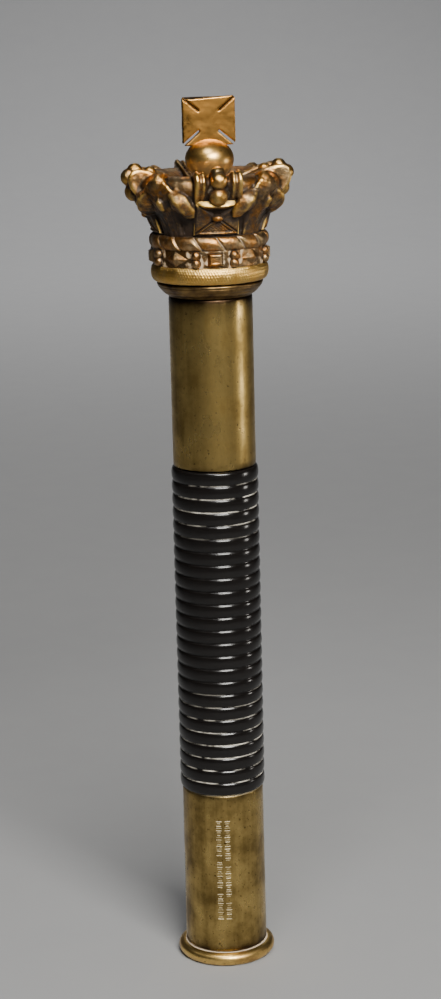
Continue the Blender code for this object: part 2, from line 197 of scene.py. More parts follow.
# Aged drawn brass: olive gold under a brown patina, with long soft streaks from drawing and hand polishing
# and small dark pits. It gives broad, broken highlights down the tube.
tube_brass, node = new_material("aged drawn brass")
place = node("TexCoord", {}).outputs["Object"]
grime_and_shade, filled = (node("Attribute", {}, attribute_name=name).outputs["Fac"] for name in ("grime_and_shade", "filled"))
along = node("Mapping", {"Vector": place, "Scale": per_size(0.0026, 0.0026, 0.030)})
streak = node("TexNoise", {"Vector": along, "Scale": 1.0, "Detail": 4.0, "Roughness": 0.55})
cloud = node("TexNoise", {"Vector": place, "Scale": per_size(0.011), "Detail": 5.0, "Roughness": 0.6})
pit_field = node("TexNoise", {"Vector": place, "Scale": per_size(0.0010), "Detail": 4.0, "Roughness": 0.6})
fine = node("Mapping", {"Vector": place, "Scale": per_size(0.0004, 0.0004, 0.004)})
scratch = node("TexNoise", {"Vector": fine, "Scale": 1.0, "Detail": 2.0})
patina = node("Math", {0: streak, 1: 0.5, 2: cloud}, operation="MULTIPLY_ADD")
patina = node("MapRange", {"Value": patina, "From Min": 0.64, "From Max": 0.92})
pits = node("MapRange", {"Value": pit_field, "From Min": 0.60, "From Max": 0.72})
grimy = node("Math", {0: grime_and_shade, 1: cloud}, operation="MULTIPLY")
grimy = node("MapRange", {"Value": grimy, "From Min": 0.05, "From Max": 0.45})
olive = linear("#C6A966")
for share, colour in ((patina, "#846D3C"), (pits, "#4A381E"), (grimy, "#33261A"), (filled, "#CDBF9C")):
    olive = node("Mix", {0: share, 6: olive, 7: linear(colour)}, data_type="RGBA")
bare = node("Math", {0: 1.0, 1: filled}, operation="SUBTRACT")
rough = node("MapRange", {"Value": patina, "To Min": 0.27, "To Max": 0.42})
rough = node("Math", {0: rough, 1: filled}, operation="MAXIMUM")
relief = node("Math", {0: scratch, 1: 0.000012}, operation="MULTIPLY")
relief = node("Math", {0: pits, 1: -0.00003, 2: relief}, operation="MULTIPLY_ADD")
finish_material(tube_brass, {"Base Color": olive, "Metallic": bare, "Roughness": rough}, relief)

tube_head_radius = 0.0119
tube_bore = 0.0107
tube_edge = 0.0002
tube_steps = 160
# How far round on each side of the marks, in radians, the mesh is finer
fine_turn = 0.25
mark_rows = (-0.00185, 0.00068)
mark_length = 0.0017
# The marks stand in pairs, this far apart, with each mark this share of the pitch off the pair's middle
mark_pitch = 0.00143
mark_beside = 0.22
mark_reach = (0.0142, 0.0446)
mark_width = 0.00027
mark_depth = 0.00010
mark_edge = 0.0001
mark_turn = math.radians(-6.5)
mark_gaps = ({6, 13}, {4, 12})
# How far each mark leans, how much of the row's width it takes, and how much of its filling is left; the list
# is gone through over and over
mark_leans = ((0.0, 1.0, 0.9), (0.08, 0.75, 0.5), (0.0, 0.95, 0.8), (0.05, 0.6, 0.35), (0.0, 1.0, 0.6),
              (-0.05, 0.8, 0.9), (0.1, 0.95, 0.45), (0.0, 0.55, 0.7))


def clamped(value):
    """The value, kept between 0 and 1."""
    return min(1.0, max(0.0, value))


def mark_cover(across, height):
    """How much of a cut mark there is at a place on the unrolled tube, from 0 to 1."""
    cover = 0.0
    for row, middle in enumerate(mark_rows):
        number = int((height - mark_reach[0]) // mark_pitch)
        for near in (number - 1, number, number + 1):
            if near < 0 or near * mark_pitch > mark_reach[1] - mark_reach[0] or near in mark_gaps[row]:
                continue
            for beside in (-mark_beside, mark_beside):
                lean, share, left_in = mark_leans[(near * 3 + row * 2 + (beside > 0)) % len(mark_leans)]
                start = mark_reach[0] + (near + 0.5 + beside) * mark_pitch
                along = across - middle
                offset = abs(height - start - lean * along * 0.4)
                inside = clamped((share * mark_length / 2 - abs(along)) / mark_edge + 0.5)
                cover = max(cover, left_in * inside * clamped(1.5 - offset / (mark_width / 2)))
    return cover


def wrapped(angle):
    """The same angle between minus and plus half a turn."""
    return (angle + math.pi) % (2 * math.pi) - math.pi


def grid_faces(rows, columns, joins_rows=False, joins_columns=True):
    """Faces between rows of points. The last row or column goes on to the first where they join."""
    faces = []
    for r in range(rows if joins_rows else rows - 1):
        s = (r + 1) % rows
        for c in range(columns if joins_columns else columns - 1):
            d = (c + 1) % columns
            faces.append((r * columns + c, r * columns + d, s * columns + d, s * columns + c))
    return faces


def tube(name, replaced, marked):
    """A drawn tube with its edges worn round. The marked one has a finer mesh round its marks."""
    low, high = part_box(replaced)
    height = high.z - low.z
    turns = list(np.linspace(0, 2 * math.pi, tube_steps, endpoint=False))
    levels = [0.0, 0.0002, 0.0005, *np.linspace(0.002, height - 0.002, 24), height - 0.0005, height - 0.0002,
              height]
    middle = -math.pi / 2 + mark_turn
    if marked:
        turns = [a for a in turns if abs(wrapped(a - middle)) > fine_turn + 0.01]
        turns += list(middle % (2 * math.pi) + np.linspace(-fine_turn, fine_turn, 62))
        first, last = mark_reach[0] - 0.001 - low.z, mark_reach[1] + 0.002 - low.z
        levels = [v for v in levels if not first - 0.001 < v < last + 0.001]
        levels += list(np.linspace(first, last, 260))
    turns = sorted(turns)
    levels = sorted(levels)
    vertices, cover = [], []
    for level in levels:
        edge = tube_edge * max(0.0, 1 - min(level, height - level) / (2 * tube_edge))
        radius = high.x + (tube_head_radius - high.x) * (level / height) - edge
        for turn in turns:
            aside = wrapped(turn - middle)
            cut = marked and abs(aside) < fine_turn - 0.01
            here = mark_cover(aside * radius, low.z + level) if cut else 0.0
            depth = radius - here * mark_depth
            vertices.append(Vector((depth * math.cos(turn), depth * math.sin(turn), low.z + level)))
            cover.append(here)
    for level in (high.z, low.z):
        for turn in turns:
            vertices.append(Vector((tube_bore * math.cos(turn), tube_bore * math.sin(turn), level)))
            cover.append(0.0)
    faces = grid_faces(len(levels) + 2, len(turns), joins_rows=True)
    piece = object_from(name, vertices, faces, tube_brass, "tube_brass")
    if marked:
        cover = [0.5 if v.z > high.z - 0.00015 else amount for v, amount in zip(vertices, cover)]
    top_grime, all_grime = (0.3, 0.25) if marked else (1.0, 0.0)
    mark_points(piece, "filled", cover)
    mark_points(piece, "grime_and_shade", [all_grime + top_grime * math.exp((v.z - high.z) / 0.0030)
                                 + 0.7 * math.exp((low.z - v.z) / 0.0015) for v in vertices])
    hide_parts(replaced)


tube("lower_tube_drawn", "lower_tube", True)

# Grip
# One length of ebony turned to twenty-five rounded ribs and polished, with a tenon at each end inside a tube.
# Dried brass polish has stayed white in the grooves nearest the metal.
rib_count = 25
rib_pitch = 0.003876
rib_radius = 0.01255
groove_radius = 0.01192
grip_low, grip_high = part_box("grip")
tenon = 0.0140
tenon_radius = 0.0104
ribs_head = grip_high.z - tenon
ribs_foot = grip_low.z + tenon

# Polished ebony: almost black, close-grained wood with a smooth wax shine and short fine pores.
ebony, node = new_material("polished ebony")
place = node("TexCoord", {}).outputs["Object"]
along = node("Mapping", {"Vector": place, "Scale": per_size(0.0006, 0.0006, 0.006)})
grain = node("TexNoise", {"Vector": along, "Scale": 1.0, "Detail": 3.0})
smear = node("TexNoise", {"Vector": place, "Scale": per_size(0.0045), "Detail": 3.0})
parts = node("SeparateXYZ", {"Vector": place}).outputs
flat = node("CombineXYZ", {"X": parts["X"], "Y": parts["Y"]})
reach = node("VectorMath", {0: flat}, operation="LENGTH")
low_in = node("MapRange",
              {"Value": reach, "From Min": groove_radius + 0.00030, "From Max": groove_radius + 0.00010})
# Heights between which the dried polish comes in, from none to all
near_head, below_head, near_foot = (
    node("MapRange", {"Value": parts["Z"], "From Min": none, "From Max": every})
    for none, every in ((ribs_head - 5.5 * rib_pitch, ribs_head - 2.0 * rib_pitch),
                        (ribs_head - 0.3 * rib_pitch, ribs_head - 2.5 * rib_pitch),
                        (ribs_foot + 9.0 * rib_pitch, ribs_foot + 3.0 * rib_pitch)))
near = node("Math", {0: near_head, 1: below_head}, operation="MULTIPLY")
near = node("Math", {0: near, 1: near_foot}, operation="MAXIMUM")
dried = node("MapRange", {"Value": smear, "From Min": 0.42, "From Max": 0.60})
for share in (low_in, near):
    dried = node("Math", {0: dried, 1: share}, operation="MULTIPLY")
black = linear("#090808")
for share, colour in ((grain, "#120F0D"), (dried, "#D8D2C4")):
    black = node("Mix", {0: share, 6: black, 7: linear(colour)}, data_type="RGBA")
rough = node("MapRange", {"Value": smear, "From Min": 0.3, "From Max": 0.7, "To Min": 0.14, "To Max": 0.22})
pores = node("Math", {0: grain, 1: 0.000006}, operation="MULTIPLY")
finish_material(ebony, {"Base Color": black, "Roughness": rough, "IOR": 1.45, "Specular IOR Level": 0.46},
                pores)

profile = [(0, grip_high.z), (tenon_radius, grip_high.z), (tenon_radius, ribs_head)]
rib_points = 14
for rib in range(rib_count):
    top = ribs_head - rib * rib_pitch
    for i in range(rib_points):
        t = i / rib_points
        swell = (1 - abs(2 * t - 1) ** 2.1) ** 0.5
        profile.append((groove_radius + (rib_radius - groove_radius) * swell, top - t * rib_pitch))
profile += [(groove_radius, ribs_foot), (tenon_radius, ribs_foot), (tenon_radius, grip_low.z)]
profile.append((0, grip_low.z))
grip = turned("grip_ribbed", profile, ebony, "ebony", steps=112)
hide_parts("grip")

# Upper tube
# The same drawn brass as below, plain and a little cleaner but for the dirt under the collar. It is glued
# over the grip's upper end.
tube("upper_tube_drawn", "upper_tube", False)

# Collar
# A turned brass ring that widens from the tube to the crown: a thin bead over a swelling curve. Its plug goes
# down into the tube and its spigot up into the crown.
collar_low, collar_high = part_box("collar")
collar_rim = collar_high.x
collar_plug = 0.0080
collar_plug_radius = 0.0104
collar_spigot = 0.0035
collar_spigot_radius = 0.0090
ring_foot = collar_low.z + collar_plug
ring_head = collar_high.z - collar_spigot
collar_neck = 0.0122
# The bead under the crown: (in from the rim, down from the ring's head)
collar_bead = ((0.0007, 0.0), (0.0002, 0.0002), (0.0, 0.0006), (0.0002, 0.0010), (0.0005, 0.0011))
quirk_depth = 0.00025

# Browned brass: the tube's metal painted dark brown, for old dirt where no hand reaches it together with
# painted shade under the crown, with the rings of the lathe showing.
shaded_browned_brass, node = new_material("browned brass with painted shade")
place = node("TexCoord", {}).outputs["Object"]
stain = node("TexNoise", {"Vector": place, "Scale": per_size(0.0035), "Detail": 5.0, "Roughness": 0.6})
stretched = node("Mapping", {"Vector": place, "Scale": per_size(1 / 90, 1 / 90, 0.0004)})
lathe = node("TexNoise", {"Vector": stretched, "Scale": 1.0, "Detail": 2.0})
brown = node("MapRange", {"Value": stain, "From Min": 0.38, "From Max": 0.66})
brown = node("Mix", {0: brown, 6: linear("#8E7246"), 7: linear("#4A3826")}, data_type="RGBA")
rings = node("Math", {0: lathe, 1: 0.00003}, operation="MULTIPLY")
finish_material(shaded_browned_brass, {"Base Color": brown, "Metallic": 1.0, "Roughness": 0.38}, rings)

profile = [(0, collar_high.z), (collar_spigot_radius, collar_high.z), (collar_spigot_radius, ring_head)]
profile += [(collar_rim - inset, ring_head - depth) for inset, depth in collar_bead]
curve_head = ring_head - 0.0012
for t in np.linspace(0, 1, 14):
    swell = 0.6 * (1 - t) + 0.4 * math.sqrt(1 - t * t)
    quirk = quirk_depth * math.exp(-(((t - 0.5) / 0.05) ** 2))
    profile.append((collar_neck + (collar_rim - 0.0003 - collar_neck) * swell - quirk,
                    curve_head + (ring_foot + 0.0004 - curve_head) * t))
profile += [(tube_head_radius + 0.0001, ring_foot + 0.0002), (tube_head_radius, ring_foot)]
profile += [(collar_plug_radius, ring_foot), (collar_plug_radius, collar_low.z), (0, collar_low.z)]
collar = turned("collar_turned", profile, shaded_browned_brass, "tube_brass")
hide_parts("collar")

# Crown casting
# The crown is cast brass, once gilded: a flared basket with four arches, four crosses and four fleurs-de-lis
# round a swelling cap. The hollows, the undersides and the lower basket are painted dark, for old dirt
# together with painted shade that is deepest on the left, and the ridges are rubbed bright.
crown_low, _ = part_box("crown")
crown_rise = 0.0184
crown_spread = 0.0460
border_height = 0.0050
band_height = 0.0043
rope_height = 0.0042
band_radius = 0.01595
band_foot = crown_low.z + border_height
rope_foot = band_foot + band_height
rope_head = rope_foot + rope_height
orb_low, orb_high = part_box("orb")
orb_radius = (orb_high.x - orb_low.x) / 2
orb_flatness = (orb_high.z - orb_low.z) / (orb_high.x - orb_low.x)
orb_middle = Vector(((orb_low.x + orb_high.x) / 2, 0, (orb_low.z + orb_high.z) / 2))


def at(turn, across, radius, height):
    """A point on the crown's face at a turn from the front, across that face and out along its middle."""
    outward = Vector((math.sin(turn), -math.cos(turn), 0))
    sideways = Vector((math.cos(turn), math.sin(turn), 0))
    return outward * radius + sideways * across + Vector((0, 0, height))


def carved(radius_share, rise_share):
    """A radius and a height in the carving, from shares of half the crown's spread and of its rise."""
    return crown_spread / 2 * radius_share, rope_head + crown_rise * rise_share


def towards_core(radius, height, depth):
    """A point this far under the carving's surface, towards the ring that the crown's cap is built round."""
    core_radius, core_height = carved(0.62, 0.50)
    inward = Vector((min(radius, core_radius) - radius, core_height - height)).normalized()
    return radius + inward.x * depth, height + inward.y * depth


def smooth_line(points, count):
    """Evenly spread points on a Catmull-Rom curve through the given ones."""
    points = [Vector(p) for p in points]
    knots = [2 * points[0] - points[1], *points, 2 * points[-1] - points[-2]]
    line = []
    for i in range(count):
        spot = i / (count - 1) * (len(points) - 1)
        start = min(int(spot), len(points) - 2)
        t = spot - start
        a, b, c, d = knots[start : start + 4]
        bend = (2 * a - 5 * b + 4 * c - d) * t**2 + (3 * b - a - 3 * c + d) * t**3
        line.append((2 * b + (c - a) * t + bend) / 2)
    return line


def ease(low, high, value):
    """0 below low, 1 above high, and a smooth step between."""
    t = clamped((value - low) / (high - low))
    return t * t * (3 - 2 * t)


def blended(keys, value):
    """A smooth reading of a table of (place, amount) pairs."""
    for (start, low), (end, high) in zip(keys, keys[1:]):
        if value <= end:
            return low + (high - low) * ease(start, end, value)
    return keys[-1][1]


def skin(rings):
    """Vertices and faces of a closed solid through rings of points, with its ends capped."""
    count = len(rings[0])
    vertices = [point for ring in rings for point in ring]
    faces = grid_faces(len(rings), count)
    faces.append(tuple(range(count)))
    faces.append(tuple(len(vertices) - count + i for i in range(count)))
    return vertices, faces


def ball(centre, radius, around=20, levels=12, flatness=1.0):
    """A ball, pressed from above and below where its flatness is under 1."""
    turns = [2 * math.pi * k / around for k in range(around)]
    rings = []
    for i in range(1, levels):
        tilt = math.pi * (1 - i / levels)
        rings.append([centre + Vector((math.sin(tilt) * math.cos(a), math.sin(tilt) * math.sin(a),
                                       math.cos(tilt) * flatness)) * radius for a in turns])
    return skin(rings)


arch_line = ((0.64, 0.28), (0.76, 0.44), (0.88, 0.57), (0.97, 0.70), (1.00, 0.82), (0.98, 0.93), (0.90, 1.00),
             (0.77, 0.98), (0.60, 0.92), (0.40, 0.83), (0.22, 0.76))
arch_width = 0.0132
arch_top_width = 0.0080
arch_thickness = 0.0075
arch_foot_share = 0.96
# Across an arch: (distance in from its edge, how far below the top it lies), both in metres
arch_section = ((0.0, 0.0008), (0.0003, 0.0002), (0.0008, 0.0), (0.0012, 0.0003), (0.0016, 0.0013),
                (0.0020, 0.0006), (0.0024, 0.0002), (0.0028, 0.0005), (0.0033, 0.0016), (0.0042, 0.0020),
                (0.0066, 0.0018))
arch_pearls = ((0.900, 0.63, 0.0054), (0.960, 0.85, 0.0048), (0.885, 0.940, 0.0044), (0.70, 0.90, 0.0038))


def arch_solid(turn):
    """An arch with three reeds on each side of the hollow that its pearls lie in."""
    rings = []
    for shares in smooth_line(arch_line, 60):
        radius, height = carved(*shares)
        narrowing = clamped((shares[0] - 0.15) / 0.6)
        half = (arch_top_width + (arch_width - arch_top_width) * narrowing) / 2
        scale = half / (arch_width / 2)
        ring = []
        for side, order in ((-1, arch_section), (1, arch_section[::-1])):
            for inset, depth in order:
                top = towards_core(radius, height, depth * min(1.0, 0.35 + 0.65 * scale))
                ring.append(at(turn, side * (half - inset * scale), *top))
        under = towards_core(radius, height, arch_thickness)
        ring += [at(turn, side * arch_foot_share * half, *under) for side in (1, -1)]
        rings.append(ring)
    return skin(rings)


leaf_line = ((0.655, -0.12), (0.735, 0.15), (0.85, 0.38), (0.94, 0.58), (0.985, 0.74), (0.975, 0.86),
             (0.92, 0.94), (0.84, 0.955), (0.76, 0.92))
leaf_width = 0.0118
leaf_thickness = 0.0040
leaf_foot_share = 0.75
leaf_roof = 0.0019
leaf_lip = 0.0005
flute_depth = 0.00018
vein_depth = 0.00024
# How wide the leaf is down its length, from foot to tip
leaf_spread = ((0.0, 0.62), (0.13, 0.62), (0.25, 0.80), (0.41, 1.0), (0.51, 0.90), (0.60, 0.72), (0.67, 0.48),
               (0.78, 0.26), (1.0, 0.10))
fleur_turn = math.radians(-3.5)


def leaf_solid(turn, steps=56, points=27):
    """The middle leaf: creased down its length, veined on each side of the crease, its tip curled out."""
    rings = []
    for i, shares in enumerate(smooth_line(leaf_line, steps)):
        t = i / (steps - 1)
        radius, height = carved(*shares)
        half = blended(leaf_spread, t) * leaf_width / 2
        ring = []
        for k in range(points):
            s = -1 + 2 * k / (points - 1)
            roof = leaf_roof * abs(s) ** 1.15 + leaf_lip * ease(0.82, 1.0, abs(s))
            roof *= half / (leaf_width / 2) * 0.7 + 0.3
            flute = flute_depth * math.cos(5 * math.pi * s) * (1 - ease(0.10, 0.26, t))
            vein = vein_depth * math.sin(2 * math.pi * (t * 15 - abs(s) * 2.4))
            vein *= ease(0.12, 0.3, abs(s)) * ease(0.26, 0.40, t) * (1 - ease(0.6, 0.75, t))
            ring.append(at(turn, s * half, *towards_core(radius, height, roof - flute + vein)))
        under = towards_core(radius, height, leaf_thickness)
        ring += [at(turn, side * leaf_foot_share * half, *under) for side in (1, -1)]
        rings.append(ring)
    return skin(rings)


def drop_solid(turn, side, line, widths, flatness, crest=0.0, around=24):
    """A petal or bud: a tapering drop along a line of (across, radius, rise) shares. A crest, off the middle
    by a share of the half width, parts a petal's outer face into two slopes."""
    rings = []
    path = smooth_line(line, 24)
    for i, (across, radius_share, rise_share) in enumerate(path):
        radius, height = carved(radius_share, rise_share)
        ahead = path[min(i + 1, len(path) - 1)] - path[max(i - 1, 0)]
        along = Vector((ahead.x * crown_spread / 2, ahead.z * crown_rise)).normalized()
        normal = Vector((-along.y, along.x))
        swell = blended(widths, i / (len(path) - 1)) / 2
        ring = []
        for k in range(around):
            angle = 2 * math.pi * k / around
            over, out = math.cos(angle), math.sin(angle)
            if crest and out > 0:
                run = (1 - over) / (1 - crest) if over > crest else (1 + over) / (1 + crest)
                out = 0.35 * out + 0.75 * run
            middle = Vector((across * crown_spread / 2, height)) + normal * over * swell
            ring.append(at(turn, side * middle.x, radius + flatness * out * swell, middle.y))
        rings.append(ring)
    return skin(rings)


petal_line = ((0.12, 0.86, 0.69), (0.21, 0.865, 0.61), (0.285, 0.835, 0.50), (0.315, 0.77, 0.38),
              (0.31, 0.69, 0.27))
petal_widths = ((0.0, 0.0016), (0.2, 0.0042), (0.45, 0.0060), (0.7, 0.0058), (0.9, 0.0038), (1.0, 0.0008))
petal_flatness = 0.85
petal_crest = 0.20
bud_line = ((0.02, 0.95, 0.60), (0.03, 0.925, 0.52), (0.03, 0.88, 0.44), (0.02, 0.84, 0.37))
bud_widths = ((0.0, 0.0006), (0.35, 0.0024), (0.75, 0.0021), (1.0, 0.0006))
bud_flatness = 0.8


def turned_solid(profile, steps=120):
    """Vertices and faces of a turned solid; its profile runs up and has no point on the axis."""
    rings = [[Vector((r * math.sin(2 * math.pi * i / steps), -r * math.cos(2 * math.pi * i / steps), z))
              for i in range(steps)] for r, z in profile]
    return skin(rings)


cap_line = ((0.10, 0.62), (0.19, 0.62), (0.36, 0.70), (0.58, 0.84), (0.74, 0.90), (0.86, 0.82), (0.885, 0.66),
            (0.79, 0.42), (0.69, 0.22), (0.645, 0.05), (0.64, -0.04))
solids = [turned_solid([carved(*shares) for shares in smooth_line(cap_line, 60)])]
hub_profile = [(0.0003, orb_low.z - 0.0002), (0.0020, orb_low.z), (0.0042, orb_low.z + 0.0009),
               (0.0047, orb_low.z + 0.0007), (0.0056, orb_low.z - 0.0036)]
hub_vertices, hub_faces = turned_solid(hub_profile, 48)
solids.append(([v + Vector((orb_middle.x, 0, 0)) for v in hub_vertices], hub_faces))
for quarter in range(4):
    turn = math.radians(90 * quarter)
    solids.append(arch_solid(turn))
    for radius_share, rise_share, width in arch_pearls:
        solids.append(ball(at(turn, 0, *carved(radius_share, rise_share)), width / 2))
    turn += math.radians(45) + fleur_turn
    solids.append(leaf_solid(turn))
    solids.append(drop_solid(turn, 1, bud_line, bud_widths, bud_flatness))
    for side in (-1, 1):
        solids.append(drop_solid(turn, side, petal_line, petal_widths, petal_flatness, petal_crest))


def joined(solids):
    """The vertices and faces of several solids as one pair."""
    vertices, faces = [], []
    for some_vertices, some_faces in solids:
        start = len(vertices)
        vertices += some_vertices
        faces += [tuple(i + start for i in face) for face in some_faces]
    return vertices, faces


def mesh_arrays(mesh):
    """The mesh's points, normals and edges as arrays."""
    points, normals = np.empty((2, len(mesh.vertices) * 3))
    mesh.vertices.foreach_get("co", points)
    mesh.vertices.foreach_get("normal", normals)
    edges = np.empty(len(mesh.edges) * 2, int)
    mesh.edges.foreach_get("vertices", edges)
    return points.reshape(-1, 3), normals.reshape(-1, 3), edges.reshape(-1, 2)


def neighbour_mean(values, edges):
    """Each vertex's mean of its neighbours' values."""
    count = len(values)
    share = np.bincount(edges.ravel(), minlength=count)[:, None]
    total = np.stack([np.bincount(edges[:, 0], values[edges[:, 1], k], count)
                      + np.bincount(edges[:, 1], values[edges[:, 0], k], count)
                      for k in range(values.shape[1])], 1)
    return total / np.maximum(share, 1)


# The casting's unevenness: (how wide its lumps are, how high)
lump_sizes = ((0.0034, 0.00016), (0.0013, 0.00007))


def cast_as_one(name, solids, voxel, softness, lumpiness, material, slot):
    """The solids run together as poured metal does, with soft joins and edges and a slightly uneven skin."""
    vertices, faces = joined(solids)
    rough_cast = object_from(name, vertices, faces, material, slot)
    bm = bmesh.new()
    bm.from_mesh(rough_cast.data)
    bmesh.ops.recalc_face_normals(bm, faces=bm.faces)
    bm.to_mesh(rough_cast.data)
    bm.free()
    remesh = rough_cast.modifiers.new("run together", "REMESH")
    remesh.mode = "VOXEL"
    remesh.voxel_size = voxel
    bpy.context.view_layer.update()
    mesh = bpy.data.meshes.new_from_object(rough_cast.evaluated_get(bpy.context.evaluated_depsgraph_get()))
    rough_cast.modifiers.clear()
    rough_cast.data = mesh
    points, normals, edges = mesh_arrays(mesh)
    for _ in range(softness):
        points += 0.5 * (neighbour_mean(points, edges) - points)
    lumps = np.array([sum(noise.noise(Vector(p) * per_size(width)) * height for width, height in lump_sizes)
                      for p in points])
    points += normals * lumps[:, None] * lumpiness
    mesh.vertices.foreach_set("co", points.ravel())
    mesh.polygons.foreach_set("use_smooth", [True] * len(mesh.polygons))
    mesh.update()
    return rough_cast


# Cast brass with worn gilding, in patches of greyer and of redder gold. Ridges are rubbed to a pale gold, and
# on the crosses' lips the same pale gold is a painted highlight too. Open faces are mottled from the mould,
# hollows go to a dull black brown with dirt, closed-in and shaded places are painted dark brown as painted
# shade together with old dirt, and dried polish is pinkish white.
cast_brass, node = new_material("cast gilding brass")
place = node("TexCoord", {}).outputs["Object"]
open_and_lit, ridge, polish = (node("Attribute", {}, attribute_name=name).outputs["Fac"]
                           for name in ("open_and_lit", "ridge", "polish"))
mottle = node("TexNoise", {"Vector": place, "Scale": per_size(0.0014), "Detail": 6.0, "Roughness": 0.70})
grit = node("TexNoise", {"Vector": place, "Scale": per_size(0.0005), "Detail": 3.0})
tint = node("TexNoise", {"Vector": place, "Scale": per_size(0.0040), "Detail": 3.0})
shown = node("Math", {0: mottle, 1: 1.6, 2: -0.8}, operation="MULTIPLY_ADD")
shown = node("Math", {0: open_and_lit, 1: shown}, operation="ADD")
# Closed-in places, undersides and the shaded parts marked on the crown are painted dark brown here: painted
# shade together with old dirt
clean_and_lit = node("MapRange", {"Value": shown, "From Min": 0.50, "From Max": 1.14})
lifted = node("Math", {0: grit, 1: 0.5, 2: -0.25}, operation="MULTIPLY_ADD")
lifted = node("Math", {0: ridge, 1: lifted}, operation="ADD")
rubbed = node("MapRange", {"Value": lifted, "From Min": 0.30, "From Max": 1.5})
dirty = node("MapRange", {"Value": lifted, "From Min": -0.02, "From Max": -0.65})
coppery = node("MapRange", {"Value": tint, "From Min": 0.40, "From Max": 0.60})
metal = node("Mix", {0: coppery, 6: linear("#B2946A"), 7: linear("#BC8240")}, data_type="RGBA")
warm = node("Mix", {0: clean_and_lit, 6: linear("#33271D"), 7: metal}, data_type="RGBA")
for share, colour in ((rubbed, "#F2C566"), (dirty, "#2A2018"), (polish, "#C2AA88")):
    warm = node("Mix", {0: share, 6: warm, 7: linear(colour)}, data_type="RGBA")
# Thick dirt and the painted shade hide the metal in part
solid = node("MapRange", {"Value": clean_and_lit, "From Max": 0.30, "To Min": 0.45})
bare = node("Math", {0: 1.0, 1: polish}, operation="SUBTRACT")
bare = node("Math", {0: bare, 1: solid}, operation="MULTIPLY")
rough = node("MapRange", {"Value": clean_and_lit, "To Min": 0.52, "To Max": 0.28})
rough = node("Math", {0: rough, 1: polish}, operation="MAXIMUM")
relief = node("Math", {0: grit, 1: 0.00006}, operation="MULTIPLY")
relief = node("Math", {0: mottle, 1: 0.00016, 2: relief}, operation="MULTIPLY_ADD")
finish_material(cast_brass, {"Base Color": warm, "Metallic": bare, "Roughness": rough}, relief)

casting = cast_as_one("crown_casting", solids, 0.00030, 2, 1.0, cast_brass, "cast_brass")
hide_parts("crown")

# Crosses on the crown
# A cross with four spreading arms is cast on the foot of each arch. The upper arm curls out to a lip, the
# side arms are flat, and the lower arm has a rough sunk panel.
patty_line = ((0.665, 0.02), (0.725, 0.22), (0.85, 0.47))
patty_width = 0.0124
patty_height = 0.0098
patty_lip = 0.0020
patty_proud = 0.0010
patty_valley = 0.0005
# How far behind its face each side of the cross goes back
patty_flanks = (0.0001, 0.0036)
boss_width = 0.0037
boss_flatness = 0.60


def patty_relief(across, rise):
    """How far the cross's face stands out at a place on it: across runs from -1 to 1, rise from 0 to 1."""
    up = 2 * rise - 1
    upper, lower = up - abs(across) * 0.92, -up - abs(across) * 0.95
    if upper > 0:
        front = 0.66 + 0.14 * across**2
        lip = patty_lip * (1 - 0.55 * abs(across) ** 2.5)
        if up > front:
            proud = lip - (lip - 0.0004) * (up - front) / (1 - front)
        else:
            proud = -0.0003 + (lip + 0.0003) * ease(0.25, front, up) ** 1.6
        proud = max(proud, patty_valley * ease(0.12, 0.0, upper))
    elif lower > 0:
        inside = min(lower, 0.98 + up)
        proud = patty_valley + (patty_proud - patty_valley) * ease(0.0, 0.06, inside)
        proud -= 0.0004 * ease(0.10, 0.18, inside)
        proud += 0.00012 * math.sin(across * 41) * math.sin(up * 37) * ease(0.14, 0.22, inside)
    else:
        inside = min(abs(across) * 0.92 - abs(up), 1.0 - abs(across))
        proud = patty_valley + (patty_proud - patty_valley) * ease(0.0, 0.10, inside)
        proud -= 0.0002 * ease(0.12, 0.5, inside)
    return proud


def patty_solid(turn, columns=84, rows=64):
    """A cross bent round the basket, with the relief of its face and flanks that go back into the casting."""
    foot, middle, head = (Vector(shares) for shares in patty_line)
    grid = []
    for r in range(rows + 1):
        rise = r / rows
        share = foot.lerp(middle, 2 * rise) if rise < 0.5 else middle.lerp(head, 2 * rise - 1)
        radius, _ = carved(*share)
        height = carved(*foot)[1] + patty_height * rise
        line = []
        for c in range(columns + 1):
            across = -1 + 2 * c / columns
            sideways = across * patty_width / 2
            out = math.sqrt(radius**2 - sideways**2) + patty_relief(across, rise)
            line.append(at(turn, sideways, out, height))
        for side, depths in ((1, patty_flanks), (-1, patty_flanks[::-1])):
            sideways = side * patty_width / 2
            out = math.sqrt(radius**2 - sideways**2)
            line += [at(turn, sideways, out - depth, height) for depth in depths]
        grid.append(line)
    return skin(grid)


solids = []
boss_radius = carved(*patty_line[1])[0] + 0.0004
boss_height = carved(*patty_line[0])[1] + patty_height / 2
for quarter in range(4):
    turn = math.radians(90 * quarter)
    solids.append(patty_solid(turn))
    solids.append(ball(at(turn, 0, boss_radius, boss_height), boss_width / 2, 48, 30, boss_flatness))
crosses = object_from("crown_crosses", *joined(solids), cast_brass, "cast_brass")

